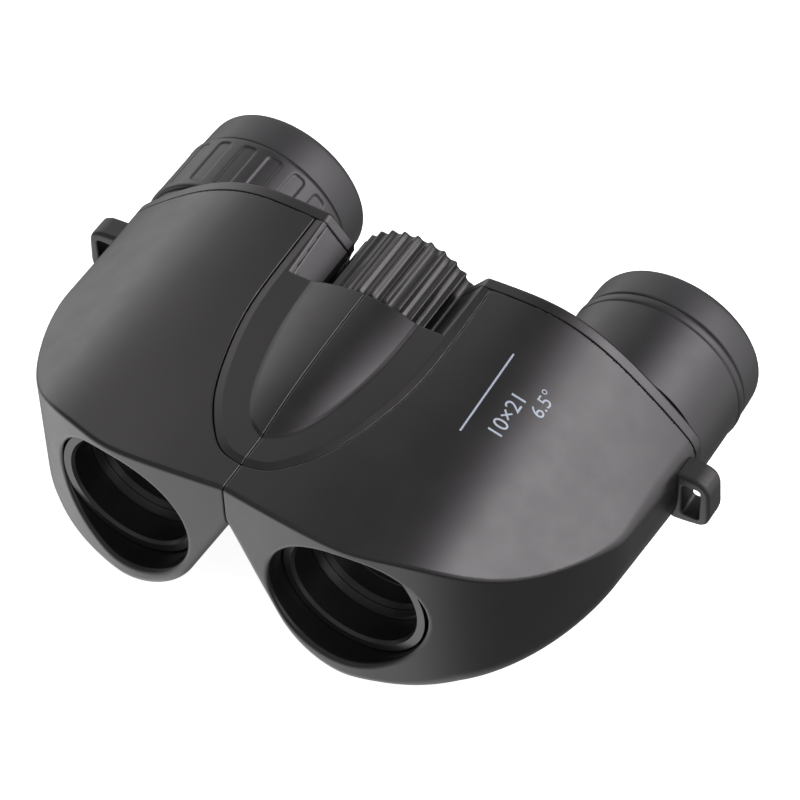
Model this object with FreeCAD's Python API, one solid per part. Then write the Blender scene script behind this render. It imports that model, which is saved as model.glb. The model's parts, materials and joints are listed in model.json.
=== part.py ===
import FreeCAD, Part
import os
import math

os.makedirs("parts", exist_ok=True)

V = FreeCAD.Vector

# Compact reverse-Porro binoculars, 10 x 21, in millimetres.
# +X is the user's left, -Y the front (objectives), +Y the rear (eyepieces), +Z up.
# The model is drawn about the front end of the middle seam, with z = 0 at the
# height of the objective axes, and is moved at the end so that its origin is the
# centre of its base. Every piece is drawn for the +X half and mirrored.

# --- optical layout ---
OBJ_X = 20.04            # objective axis
EYE_X = 36.78            # eyepiece axis
EYE_Z = -5.03
HINGE_Z = 6.5            # hinge axis, on the middle plane
FOLD_SIDE = 27.6         # slope of each lower inner face from the vertical, degrees

# --- casing ---
WALL = 1.6
LOW_EDGE_R = 4.0
SEAM_GAP = 0.06          # each half stops this far from the middle plane
Y_FRONT = -2.0
Y_PART = 53.0            # parting line to the rear cover
Y_REAR = 55.2            # rear face of the rear cover
APEX_Z = 6.6             # where the lower inner faces meet, just above the hinge axis
OBJ_HOUSING = (21.4, -1.9)           # x, z of the round lower front
EYE_HOUSING_R = 15.5
MOUTH_R = 12.67
MOUTH_DEPTH = 3.2
BORE_R = 12.5
BORE_END = 19.5
GUIDE_R = 13.9

# --- notch for the focus wheel ---
NOTCH_Y = 41.6
NOTCH_TOP_X = 14.1
NOTCH_LOW = (10.2, 13.2)
WHEEL_WELL_R = 11.5

# --- hinge ---
HINGE_FRONT = 2.4        # front end of the hinge's bore, hidden behind the front walls
HINGE_TUBE_R = 2.6
HINGE_TUBE_BORE = 1.75
KNUCKLE_R = 4.4
KNUCKLE_CLEAR_R = 4.75
WELL_R = 6.2
KNUCKLES = {"left": [(4.0, 9.0), (31.0, NOTCH_Y)], "right": [(19.6, 30.7)]}
CHAMBER = (9.3, 19.3)
RUN = 0.05               # radial running clearance

# --- focus drive ---
WHEEL_R = 11.1
WHEEL_FRONT = 42.4
WHEEL_REAR = 58.2
RIB_COUNT = 28
RIB_R = 0.62
RIB_HEIGHT = 0.7
ARM_WIDTH = 2.4
ARM_LOW = 2.2
ARM_HIGH = 5.4
ARM_END = 9.6            # the arms end in a notch of the objective cell

# --- eyepieces ---
BARREL_R = 15.2
SPIGOT_R = 13.0
BARREL_END = 70.05       # plain barrel, left
CELL_FLANGE = 70.15      # the cell widens here to hold the eyecup
EYECUP_FRONT = {"left": 70.15, "right": 69.3}
EYECUP_REAR = 76.35
EYECUP_R = 15.2
EYECUP_RIM_R = 14.9
CELL_R = 12.4
DIOPTRE_RING_R = 15.6
DIOPTRE_RING_END = 69.1  # the right eyecup's front end slides inside the ring's rim
DIOPTRE_WALL = (67.6, 68.25)
DIOPTRE_SLEEVE_R = 14.0
DIOPTRE_TURN = 60        # degrees each way
GRIP_COUNT = 20
GRIP_FIRST = 14.5        # degrees
GRIP_HALF = 1.3
GRIP_FLOOR_R = 15.22
SPIGOT_Y = 52.0

# --- prisms ---
PRISM_SHIFT = 12.36      # sideways shift of the beam in each prism
PRISM_HALF = 10.3        # half length of the trimmed long face
PRISM_WIDE = 11.0
PRISM_FRONT_Y = 38.6     # long face of the prism whose ridge points forward
PRISM_REAR_Y = 39.9      # long face of the prism whose ridge points back
PRISM_TILT = 28.3        # degrees, direction of the first sideways shift

# --- fasteners, as (x, z) ---
SCREW_R = 0.8
BOSS_R = 2.2
BOSS_LONG = 8.0
COVER_SCREWS = [(21.0, 14.4), (23.5, -14.0)]
BRACKET_SCREWS = [(10.8, -6.6), (40.6, 6.2)]
BRACKET_Y = (PRISM_FRONT_Y + 0.05, PRISM_REAR_Y - 0.05)
LUG_Y = 49.6
LUG_HALF = 2.3

LOW_Z = EYE_Z - DIOPTRE_RING_R
MID_Y = (Y_FRONT + 0.94 + EYECUP_REAR) / 2
ORIGIN_SHIFT = V(0, -MID_Y, -LOW_Z)
Y_DIR = V(0, 1, 0)


# ---------------------------------------------------------------- helpers
def cyl(x, z, r, y0, y1):
    return Part.makeCylinder(r, y1 - y0, V(x, y0, z), Y_DIR)


def tube(x, z, r_out, r_in, y0, y1):
    return cyl(x, z, r_out, y0, y1).cut(cyl(x, z, r_in, y0 - 1, y1 + 1))


def block(x0, x1, y0, y1, z0, z1):
    return Part.makeBox(x1 - x0, y1 - y0, z1 - z0, V(x0, y0, z0))


def curve(points):
    spline = Part.BSplineCurve()
    spline.interpolate(points)
    return spline.toShape()


def line(a, b):
    return Part.makeLine(a, b)


def ring_profile(x, z, profile):
    """Turn a closed (radius, y) outline about an axis along Y."""
    points = [V(x + r, y, z) for r, y in profile]
    face = Part.Face(Part.makePolygon(points + points[:1]))
    return face.revolve(V(x, 0, z), Y_DIR, 360)


def mirrored(shape):
    return shape.mirror(V(0, 0, 0), V(1, 0, 0))


def save(shape, node):
    if node.endswith("_right"):
        shape = mirrored(shape)
    shape = shape.copy()
    shape.translate(ORIGIN_SHIFT)
    shape.exportStep("parts/" + node + ".step")


# ---------------------------------------------------------------- casing envelope
def cross_section(y, top_points, eye_centre, eye_r, inset):
    """Closed outline of one half in a plane across Y, drawn inset from its skin."""
    ox, oz = OBJ_HOUSING
    ex, ez = eye_centre
    slope = math.radians(FOLD_SIDE)
    # the round front touches the lower inner face
    obj_r = (ox - SEAM_GAP) * math.cos(slope) - (APEX_Z - oz) * math.sin(slope) - inset
    eye_r = eye_r - inset
    seam_x = SEAM_GAP + inset
    touch = V(ox - obj_r * math.cos(slope), y, oz - obj_r * math.sin(slope))
    seam_low = V(seam_x, y, touch.z + (touch.x - seam_x) / math.tan(slope))
    # common lower tangent of the two housings
    down = math.atan2(ez - oz, ex - ox) - math.acos((obj_r - eye_r) / math.hypot(ex - ox, ez - oz))
    obj_low = V(ox + obj_r * math.cos(down), y, oz + obj_r * math.sin(down))
    eye_low = V(ex + eye_r * math.cos(down), y, ez + eye_r * math.sin(down))
    mid_obj = (math.pi + slope + down + 2 * math.pi) / 2
    obj_mid = V(ox + obj_r * math.cos(mid_obj), y, oz + obj_r * math.sin(mid_obj))
    eye_mid_turn = down / 2
    eye_mid = V(ex + eye_r * math.cos(eye_mid_turn), y, ez + eye_r * math.sin(eye_mid_turn))
    eye_out = V(ex + eye_r, y, ez)
    top = [V(seam_x, y, top_points[0][1] - inset)]
    top += [V(px - inset * 0.5, y, pz - inset) for px, pz in top_points[1:-1]]
    top += [V(top_points[-1][0] - inset, y, top_points[-1][1] - inset * 0.5)]
    edges = [
        line(top[0], seam_low),
        line(seam_low, touch),
        Part.Arc(touch, obj_mid, obj_low).toShape(),
        line(obj_low, eye_low),
        Part.Arc(eye_low, eye_mid, eye_out).toShape(),
        line(eye_out, top[-1]),
        curve(top[::-1]),
    ]
    return Part.Wire(edges)


def envelope(inset, y0, y1):
    """One half's body between two planes, before the plan outline cuts it."""
    front_top = [(0, 15.9), (12.5, 15.5), (26, 13.9), (36, 11.0), (42, 6.8), (48, 2.9), (53.4, 1.0)]
    rear_top = [(0, 17.6), (16, 18.2), (28.8, 17.7), (37.2, 13.9), (44.4, 8.4), (49.2, 4.0), (52.6, 0.4)]
    front = cross_section(Y_FRONT, front_top, (36.2, -2.6), 14.2, inset)
    rear = cross_section(Y_REAR, rear_top, (EYE_X, EYE_Z), EYE_HOUSING_R, inset)
    whole = Part.makeLoft([front, rear], True, True)
    return whole.common(block(-1, 70, y0, y1, -40, 40))


def plan_prism(inset):
    """The outline seen from above, as a tall block."""
    outline = [(0, 0), (8, -0.75), (15.5, -1.06), (21, -0.7), (26.5, 0.8), (32.5, 3.1), (37.2, 6.0),
               (42.2, 11.2), (48.0, 21.1), (51.9, 33), (53.2, 46), (53.2, 60)]
    skin = Part.BSplineCurve()
    skin.interpolate([V(x, y, -40) for x, y in outline])
    points = []
    count = 24
    for i in range(count + 1):
        t = skin.FirstParameter + (skin.LastParameter - skin.FirstParameter) * i / count
        tangent = skin.tangent(t)[0]
        points.append(skin.value(t) + V(-tangent.y, tangent.x, 0) * inset)
    first = points[0]
    last = points[-1]
    corners = [last, V(-1, last.y, -40), V(-1, first.y, -40), first]
    sides = [line(a, b) for a, b in zip(corners, corners[1:])]
    wire = Part.Wire([curve(points)] + sides)
    return Part.Face(wire).extrude(V(0, 0, 80))


def half_body():
    """The whole solid of one half, with its lower front edge rounded."""
    body = envelope(0, Y_FRONT, Y_REAR).common(plan_prism(0))
    low = []
    for edge in body.Edges:
        middle = edge.valueAt((edge.FirstParameter + edge.LastParameter) / 2)
        if middle.z < -9 and edge.BoundBox.YMax < Y_PART - 10:
            low.append(edge)
    return body.makeFillet(LOW_EDGE_R, low)


def notch_prism(grow):
    """The space round the focus wheel, open above."""
    low_x, low_z = NOTCH_LOW
    top_x = NOTCH_TOP_X + grow
    low = V(low_x + grow, NOTCH_Y - grow, low_z)
    lean = (NOTCH_TOP_X - low_x) / (17.7 - low_z)
    high = V(top_x + lean * 4, NOTCH_Y - grow, 21.7)
    points = [V(-1, NOTCH_Y - grow, HINGE_Z), V(low_x + grow, NOTCH_Y - grow, HINGE_Z), low, high,
              V(-1, NOTCH_Y - grow, 21.7)]
    upper = Part.Face(Part.makePolygon(points + points[:1])).extrude(V(0, 30, 0))
    return upper.fuse(cyl(0, HINGE_Z, WHEEL_WELL_R + grow, NOTCH_Y - grow, 80))


def inlay_region(grow):
    """Plan outline of the hinge cover, as a tall block that runs back beside the notch."""
    outline = [(0, 5.4), (3.2, 6.0), (6.6, 8.6), (10.8, 14.9), (13.8, 23.4), (15.6, 33), (15.9, 43.7)]
    points = [V(x + grow, y - grow * 0.7, 8) for x, y in outline]
    end = V(15.9 + grow, Y_PART + 5, 8)
    wire = Part.Wire([curve(points), line(points[-1], end), line(end, V(-1, end.y, 8)),
                      line(V(-1, end.y, 8), V(-1, points[0].y, 8)), line(V(-1, points[0].y, 8), points[0])])
    return Part.Face(wire).extrude(V(0, 0, 16))


def own_side(side, shape):
    """Cut the other half's knuckles out of a piece that reaches the hinge."""
    other = "right" if side == "left" else "left"
    for y0, y1 in KNUCKLES[other]:
        shape = shape.cut(cyl(0, HINGE_Z, KNUCKLE_CLEAR_R, y0 - 0.2, y1 + 0.2))
    return shape.cut(cyl(0, HINGE_Z, KNUCKLE_CLEAR_R, *CHAMBER))


def inner_space():
    """The hollow inside one half."""
    space = envelope(WALL, Y_FRONT, Y_PART).common(plan_prism(WALL + 0.6))
    space = space.common(block(0, 70, 3.5, Y_PART + 1, -40, 40))
    space = space.cut(notch_prism(WALL)).cut(cyl(0, HINGE_Z, WELL_R, -5, NOTCH_Y))
    space = space.cut(cyl(OBJ_X, 0, GUIDE_R, -5, BORE_END))
    return space.cut(inlay_region(0.8).common(block(-1, 20, 0, 60, 12.9, 30)))


def with_bosses(body, places, y_end):
    """Add a drilled boss against the wall for each screw."""
    for x, z in places:
        boss = cyl(x, z, BOSS_R, y_end - BOSS_LONG, y_end).common(half_body())
        body = body.fuse(boss).cut(cyl(x, z, SCREW_R + RUN, y_end - BOSS_LONG + 1, y_end + 1))
    return body


def casing(side):
    outer = half_body().common(block(-1, 70, Y_FRONT, Y_PART, -40, 40)).cut(notch_prism(0))
    body = outer.cut(inner_space())
    body = with_bosses(body, BRACKET_SCREWS, BRACKET_Y[0])
    body = with_bosses(body, COVER_SCREWS, Y_PART)
    body = body.cut(cyl(OBJ_X, 0, BORE_R, -5, BORE_END + 1)).cut(cyl(OBJ_X, 0, MOUTH_R, -5, MOUTH_DEPTH))
    body = body.cut(inlay_region(0.12).common(block(-1, 20, 0, 60, 14.6, 30)))
    body = own_side(side, body)
    # slot for the focus arm, from the hinge chamber to the objective bore
    body = body.cut(block(1.5, 12.0, CHAMBER[0], CHAMBER[1], ARM_LOW - 0.6, ARM_HIGH + 1.0))
    for y0, y1 in KNUCKLES[side]:
        body = body.fuse(cyl(0, HINGE_Z, KNUCKLE_R, y0, y1))
    bore = HINGE_TUBE_R if side == "left" else HINGE_TUBE_R + RUN
    return body.cut(cyl(0, HINGE_Z, bore, HINGE_FRONT, 60)).removeSplitter()


def rear_cover():
    plate = half_body().common(block(-1, 70, Y_PART, Y_REAR, -40, 40)).cut(notch_prism(0))
    plate = plate.cut(cyl(EYE_X, EYE_Z, SPIGOT_R, 40, 70))
    for x, z in COVER_SCREWS:
        plate = plate.cut(cyl(x, z, SCREW_R + RUN, 50, 60)).cut(cyl(x, z, 1.6, Y_REAR - 1.0, 60))
    return plate


def hinge_cover():
    """Top panel with the raised tongue that hides the front of the wheel."""
    skin = envelope(0, Y_FRONT, Y_PART).common(plan_prism(0)).common(inlay_region(0))
    panel = skin.common(block(-1, 20, 0, 60, 14.7, 30)).cut(notch_prism(0))
    tongue = tongue_block()
    return panel.fuse(tongue.common(block(SEAM_GAP, 20, 0, NOTCH_Y, 14.7, 30))).removeSplitter()


def tongue_block():
    """A dome that rises from a point at the front to a full arch over the wheel."""
    stations = [(11.6, 0.8, 16.75), (15.0, 4.2, 17.35), (20.0, 6.4, 18.2),
                (26.0, 7.7, 18.85), (33.0, 8.5, 19.25), (NOTCH_Y, 8.8, 19.45)]
    wires = []
    for y, half, crest in stations:
        edge_z = crest - half * half / (2 * 14.4) - 0.1
        left = V(0, y, 15.0)
        right = V(half, y, 15.0)
        edge = V(half, y, edge_z)
        middle = V(half * 0.55, y, crest - (crest - edge_z) * 0.3)
        top = V(0, y, crest)
        wires.append(Part.Wire([line(left, right), line(right, edge), Part.Arc(edge, middle, top).toShape(),
                                line(top, left)]))
    return Part.makeLoft(wires, True, False)


# ---------------------------------------------------------------- optics
def objective_cell():
    profile = [(12.4, 3.4), (12.4, 17.2), (10.2, 17.2), (10.2, 13.2), (10.45, 13.2),
               (10.45, 8.4), (10.69, 8.4), (10.69, 3.9), (11.1, 3.4)]
    body = ring_profile(OBJ_X, 0, profile)
    return body.cut(block(4, ARM_END, 13.0, 18, ARM_LOW, ARM_HIGH))


def objective_ring():
    return ring_profile(OBJ_X, 0, [(10.4, 8.4), (10.4, 9.7), (9.9, 9.7), (10.1, 8.4)])


def lens(x, z, r, front, front_bulge, rear, rear_bulge):
    """Turned lens: rim planes at front and rear, each face bulging outward."""
    edges = [
        line(V(x, front - front_bulge, z), V(x, rear + rear_bulge, z)),
        lens_face(x, z, r, rear, rear_bulge),
        line(V(x + r, rear, z), V(x + r, front, z)),
        lens_face(x, z, r, front, -front_bulge),
    ]
    return Part.Face(Part.Wire(Part.sortEdges(edges)[0])).revolve(V(x, 0, z), Y_DIR, 360)


def lens_face(x, z, r, y, bulge):
    return Part.Arc(V(x, y + bulge, z), V(x + r / 2, y + bulge * 0.75, z), V(x + r, y, z)).toShape()


def objective_lens():
    return lens(OBJ_X, 0, 10.4, 9.85, 0.85, 13.15, 0.2)


def porro_prism(centre, angle, long_face_y, ridge_sign):
    """Right-angle prism with trimmed ends, its long face across Y."""
    depth = PRISM_SHIFT - 0.5
    trim = PRISM_SHIFT - PRISM_HALF
    s = ridge_sign
    outline = [V(-PRISM_HALF, 0, 0), V(PRISM_HALF, 0, 0), V(PRISM_HALF, s * trim, 0), V(0.5, s * depth, 0),
               V(-0.5, s * depth, 0), V(-PRISM_HALF, s * trim, 0)]
    outline = [p + V(0, 0, -PRISM_WIDE / 2) for p in outline]
    solid = Part.Face(Part.makePolygon(outline + outline[:1])).extrude(V(0, 0, PRISM_WIDE))
    solid.rotate(V(0, 0, 0), Y_DIR, -angle)
    solid.translate(V(centre[0], long_face_y, centre[1]))
    return solid


def prism_centres():
    first = math.radians(PRISM_TILT)
    second = math.radians(PRISM_TILT - 90)
    half = PRISM_SHIFT / 2
    a = (OBJ_X + half * math.cos(first), half * math.sin(first))
    b = (EYE_X - half * math.cos(second), EYE_Z - half * math.sin(second))
    return a, b


def prism_bracket():
    """Plate between the two prisms, with a window where each beam passes."""
    y0, y1 = BRACKET_Y
    plate = inner_space().common(block(0, 70, y0, y1, -40, 40))
    a = prism_centres()[0]
    beams = [(OBJ_X, 0), (2 * a[0] - OBJ_X, 2 * a[1]), (EYE_X, EYE_Z)]
    for x, z in beams:
        plate = plate.cut(cyl(x, z, 4.9, 30, 50))
    for x, z in BRACKET_SCREWS:
        plate = plate.cut(cyl(x, z, SCREW_R + RUN, 30, 50))
    return plate


def screws(places, y_head, length, driver_depth):
    """Pan-head screws with a cross slot, driven from the rear."""
    group = []
    for x, z in places:
        screw = cyl(x, z, SCREW_R, y_head - length, y_head).fuse(cyl(x, z, 1.5, y_head, y_head + 0.8))
        for width, height in ((2.0, 0.35), (0.35, 2.0)):
            slot = block(x - width / 2, x + width / 2, y_head + 0.8 - driver_depth, y_head + 2,
                         z - height / 2, z + height / 2)
            screw = screw.cut(slot)
        group.append(screw)
    return Part.makeCompound(group)


# ---------------------------------------------------------------- eyepieces
def eyepiece_barrel():
    """Plain barrel with a rounded bead at its rear end."""
    outer = [(BARREL_R, Y_REAR), (BARREL_R, 68.2), (BARREL_R + 0.25, 68.8), (BARREL_R + 0.25, 69.6),
             (BARREL_R - 0.1, BARREL_END), (CELL_R + 0.02, BARREL_END), (CELL_R + 0.02, SPIGOT_Y),
             (SPIGOT_R, SPIGOT_Y), (SPIGOT_R, Y_REAR)]
    return ring_profile(EYE_X, EYE_Z, outer)


def eyepiece_sleeve():
    """Fixed sleeve under the dioptre ring, with a slot for the ring's pin."""
    outer = [(SPIGOT_R, SPIGOT_Y), (SPIGOT_R, Y_REAR), (BARREL_R - 0.3, Y_REAR), (BARREL_R - 0.3, 56.1),
             (DIOPTRE_SLEEVE_R - RUN, 56.1), (DIOPTRE_SLEEVE_R - RUN, 67.5), (CELL_R + RUN, 67.5),
             (CELL_R + RUN, SPIGOT_Y)]
    sleeve = ring_profile(EYE_X, EYE_Z, outer)
    slot = [V(EYE_X + r, y, EYE_Z) for r, y in ((12, 61.0), (15, 61.0), (15, 63.0), (12, 63.0))]
    face = Part.Face(Part.makePolygon(slot + slot[:1]))
    slot = face.revolve(V(EYE_X, 0, EYE_Z), Y_DIR, 2 * DIOPTRE_TURN + 10)
    slot.rotate(V(EYE_X, 0, EYE_Z), Y_DIR, -90 - DIOPTRE_TURN - 5)
    return sleeve.cut(slot)


def dioptre_pin():
    return Part.makeCylinder(0.8, 2.0, V(EYE_X, 62, EYE_Z + CELL_R + 0.2), V(0, 0, 1))


def dioptre_ring():
    """Turning ring with long finger grooves round it."""
    wall_front, wall_rear = DIOPTRE_WALL
    rim_r = EYECUP_R + 0.08
    outer = [(DIOPTRE_SLEEVE_R, 56.3), (15.2, 56.3), (DIOPTRE_RING_R, 56.9), (DIOPTRE_RING_R, 68.7),
             (rim_r + 0.15, DIOPTRE_RING_END), (rim_r, DIOPTRE_RING_END), (rim_r, wall_rear),
             (CELL_R + 0.4, wall_rear), (CELL_R + 0.4, wall_front), (DIOPTRE_SLEEVE_R, wall_front)]
    ring = ring_profile(EYE_X, EYE_Z, outer)
    groove = block(EYE_X + GRIP_FLOOR_R, EYE_X + 18, 57.9, 67.8, EYE_Z - GRIP_HALF, EYE_Z + GRIP_HALF)
    for i in range(GRIP_COUNT):
        cutter = groove.copy()
        cutter.rotate(V(EYE_X, 0, EYE_Z), Y_DIR, -GRIP_FIRST - 360 / GRIP_COUNT * i)
        ring = ring.cut(cutter)
    return ring.cut(dioptre_pin())


def eyepiece_cell():
    """Tube that carries the eyepiece lenses and the rubber eyecup."""
    outer = [(CELL_R, 53.0), (CELL_R, CELL_FLANGE), (13.4, CELL_FLANGE), (13.4, 75.4),
             (11.0, 75.4), (11.0, 71.0), (8.6, 71.0), (8.6, 66.2), (9.4, 66.2), (9.4, 57.0),
             (10.8, 57.0), (10.8, 53.0)]
    return ring_profile(EYE_X, EYE_Z, outer)


def field_stop():
    return ring_profile(EYE_X, EYE_Z, [(10.8, 55.6), (10.8, 57.0), (5.6, 57.0), (5.2, 56.3), (5.6, 55.6)])


def field_lens():
    return lens(EYE_X, EYE_Z, 9.35, 57.9, 0.7, 59.4, 1.6)


def eye_lens():
    return lens(EYE_X, EYE_Z, 8.6, 67.0, 0.6, 69.2, 1.4)


def eyecup(side):
    """Rubber cup with a soft rounded rim."""
    front = EYECUP_FRONT[side]
    outer = [(13.4, front), (EYECUP_R - 0.2, front), (EYECUP_R, front + 0.35), (EYECUP_R, 71.6),
             (EYECUP_RIM_R + 0.2, 75.0), (EYECUP_RIM_R, 75.8), (EYECUP_RIM_R - 0.5, 76.2),
             (EYECUP_RIM_R - 1.1, EYECUP_REAR), (12.2, EYECUP_REAR), (10.6, 75.5), (10.6, 75.4), (13.4, 75.4)]
    return ring_profile(EYE_X, EYE_Z, outer)


def strap_lug():
    """Loop at the outer side, with its strap slot along Y."""
    outline = [(51.4, 0.4), (56.0, 0.0), (57.4, -1.4), (57.7, -8.2), (56.8, -9.8),
               (54.6, -10.4), (50.6, -10.6)]
    points = [V(x, LUG_Y - LUG_HALF, z) for x, z in outline]
    plate = Part.Face(Part.makePolygon(points + points[:1])).extrude(V(0, 2 * LUG_HALF, 0))
    slot = block(53.1, 55.7, LUG_Y - 5, LUG_Y + 5, -8.4, -1.9)
    return plate.cut(slot).cut(half_body())


# ---------------------------------------------------------------- hinge and focus drive
def hinge_tube():
    body = tube(0, HINGE_Z, HINGE_TUBE_R, HINGE_TUBE_BORE, 3.0, 50.4)
    body = body.cut(block(-0.7, 0.7, 11.2, 19.8, HINGE_Z - 4, HINGE_Z + 4))
    return body.cut(tube(0, HINGE_Z, 4, HINGE_TUBE_R - 0.4, 49.2, 49.8))


def hinge_cap():
    return cyl(0, HINGE_Z, HINGE_TUBE_BORE, 3.0, 6.0).fuse(cyl(0, HINGE_Z, HINGE_TUBE_R, 2.4, 3.0))


def thrust_washer():
    return tube(0, HINGE_Z, 5.6, HINGE_TUBE_R, NOTCH_Y, NOTCH_Y + 0.6)


def wheel_clip():
    ring = tube(0, HINGE_Z, 3.6, HINGE_TUBE_R - 0.4, 49.25, 49.75)
    return ring.cut(block(-1.4, 1.4, 49, 50, HINGE_Z - 5, HINGE_Z))


def focus_rod():
    rod = cyl(0, HINGE_Z, HINGE_TUBE_BORE - RUN, 11.9, 54.6)
    for i in range(8):
        groove_y = 50.9 + 0.45 * i
        rod = rod.cut(tube(0, HINGE_Z, 3, HINGE_TUBE_BORE - RUN - 0.15, groove_y, groove_y + 0.2))
    return rod.cut(drive_pin())


def drive_pin():
    """Pin through the rod, the tube's slot and the collar."""
    return Part.makeCylinder(0.6, 6.3, V(0, 15.5, HINGE_Z - 3.15), V(0, 0, 1))


def focus_collar():
    sleeve = tube(0, HINGE_Z, 3.2, HINGE_TUBE_R + RUN, 12.5, 18.5)
    front = tube(0, HINGE_Z, 4.3, HINGE_TUBE_R + RUN, 12.5, 12.9)
    rear = tube(0, HINGE_Z, 4.3, HINGE_TUBE_R + RUN, 18.1, 18.5)
    return sleeve.fuse(front).fuse(rear).cut(drive_pin())


def focus_arm(side):
    """Hub that turns on the collar, with an arm to the objective cell."""
    y0 = 13.0 if side == "left" else 15.6
    hub = cyl(0, HINGE_Z, 4.3, y0, y0 + ARM_WIDTH)
    arm = block(2.0, ARM_END, y0, y0 + ARM_WIDTH, ARM_LOW, ARM_HIGH)
    body = hub.fuse(arm)
    if side == "right":
        body = body.fuse(block(7.6, ARM_END, 13.8, y0 + ARM_WIDTH, ARM_LOW, ARM_HIGH))
    return body.cut(cyl(0, HINGE_Z, 3.2 + RUN, 0, 30))


def wheel_hub():
    """Metal nut in the wheel: it runs on the hinge tube and drives the rod's thread."""
    profile = [(HINGE_TUBE_R + RUN, 42.3), (5.4, 42.3), (5.4, 56.4), (HINGE_TUBE_BORE, 56.4),
               (HINGE_TUBE_BORE, 50.9), (3.8, 50.9), (3.8, 49.0), (HINGE_TUBE_R + RUN, 49.0)]
    return ring_profile(0, HINGE_Z, profile)


def focus_wheel():
    root_r = WHEEL_R - RIB_HEIGHT
    profile = [(5.4, 42.8), (root_r - 0.3, WHEEL_FRONT + 0.4), (root_r, WHEEL_FRONT + 0.7),
               (root_r, WHEEL_REAR - 1.1), (root_r - 0.8, WHEEL_REAR - 0.2), (8.6, WHEEL_REAR),
               (4.2, WHEEL_REAR), (4.2, 56.5), (5.4, 56.5)]
    wheel = ring_profile(0, HINGE_Z, profile)
    rib = cyl(WHEEL_R - RIB_R, HINGE_Z, RIB_R, WHEEL_FRONT + 0.5, WHEEL_REAR - 0.6)
    ribs = []
    for i in range(RIB_COUNT):
        copy = rib.copy()
        copy.rotate(V(0, 0, HINGE_Z), Y_DIR, 360 / RIB_COUNT * i)
        ribs.append(copy)
    return wheel.multiFuse(ribs)


# ---------------------------------------------------------------- write the nodes
first_centre, second_centre = prism_centres()

for side in ("left", "right"):
    end = "_" + side
    save(casing(side), "casing" + end)
    save(rear_cover(), "rear_cover" + end)
    save(own_side(side, hinge_cover()), "hinge_cover" + end)
    save(objective_cell(), "objective_cell" + end)
    save(objective_ring(), "objective_ring" + end)
    save(objective_lens(), "objective_lens" + end)
    save(focus_arm(side), "focus_arm" + end)
    save(porro_prism(first_centre, PRISM_TILT, PRISM_REAR_Y, 1), "prism_rear" + end)
    save(porro_prism(second_centre, PRISM_TILT - 90, PRISM_FRONT_Y, -1), "prism_front" + end)
    save(prism_bracket(), "prism_bracket" + end)
    save(screws(BRACKET_SCREWS, BRACKET_Y[1], 6.0, 0.4), "bracket_screws" + end)
    save(screws(COVER_SCREWS, Y_REAR - 1.0, 5.0, 0.4), "cover_screws" + end)
    save(eyepiece_cell(), "eyepiece_cell" + end)
    save(field_stop(), "field_stop" + end)
    save(field_lens(), "field_lens" + end)
    save(eye_lens(), "eye_lens" + end)
    save(eyecup(side), "eyecup" + end)
    save(strap_lug(), "strap_lug" + end)

save(eyepiece_barrel(), "eyepiece_barrel_left")
save(eyepiece_sleeve(), "eyepiece_sleeve_right")
save(dioptre_ring(), "dioptre_ring_right")
save(dioptre_pin(), "dioptre_pin_right")
save(hinge_tube(), "hinge_tube")
save(hinge_cap(), "hinge_cap")
save(thrust_washer(), "thrust_washer")
save(wheel_clip(), "wheel_clip")
save(focus_rod(), "focus_rod")
save(drive_pin(), "drive_pin")
save(focus_collar(), "focus_collar")
save(wheel_hub(), "wheel_hub")
save(focus_wheel(), "focus_wheel")
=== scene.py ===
import json
import math

import bpy
import numpy as np
import openvdb
from mathutils import Matrix, Vector


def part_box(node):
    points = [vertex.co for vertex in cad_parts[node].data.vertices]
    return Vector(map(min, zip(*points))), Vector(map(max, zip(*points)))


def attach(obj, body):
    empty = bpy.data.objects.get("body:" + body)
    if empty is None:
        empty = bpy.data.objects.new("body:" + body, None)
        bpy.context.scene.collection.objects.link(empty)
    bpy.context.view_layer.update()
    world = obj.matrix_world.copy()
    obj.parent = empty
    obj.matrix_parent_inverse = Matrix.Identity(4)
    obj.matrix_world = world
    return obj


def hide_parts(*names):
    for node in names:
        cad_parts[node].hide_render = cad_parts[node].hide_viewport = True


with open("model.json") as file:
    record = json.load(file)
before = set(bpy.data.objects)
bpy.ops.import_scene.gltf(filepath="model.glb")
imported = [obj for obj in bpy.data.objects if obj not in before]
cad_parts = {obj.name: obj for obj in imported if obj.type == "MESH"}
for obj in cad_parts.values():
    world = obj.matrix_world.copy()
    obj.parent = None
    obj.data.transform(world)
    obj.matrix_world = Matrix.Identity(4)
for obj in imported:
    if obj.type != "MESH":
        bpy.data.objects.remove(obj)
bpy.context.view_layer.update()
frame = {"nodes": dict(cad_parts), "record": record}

# Shapes are drawn in millimetres about the front end of the middle seam at the height
# of the objective axes, for the +X half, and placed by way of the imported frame.
# +X is the user's left, -Y the front, +Y the rear (eyepieces), +Z up.
cell_low, cell_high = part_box("objective_cell_left")
CELL_FRONT = 3.4
ORIGIN = Vector((0, cell_low.y - CELL_FRONT / 1000, (cell_low.z + cell_high.z) / 2))


def axis_of(node):
    """x and z, in drawing millimetres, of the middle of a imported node."""
    low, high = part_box(node)
    middle = ((low + high) / 2 - ORIGIN) * 1000
    return middle.x, middle.z


OBJ_X = axis_of("objective_cell_left")[0]
EYE_X, EYE_Z = axis_of("eyepiece_cell_left")
HINGE_Z = axis_of("hinge_tube")[1]

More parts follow.
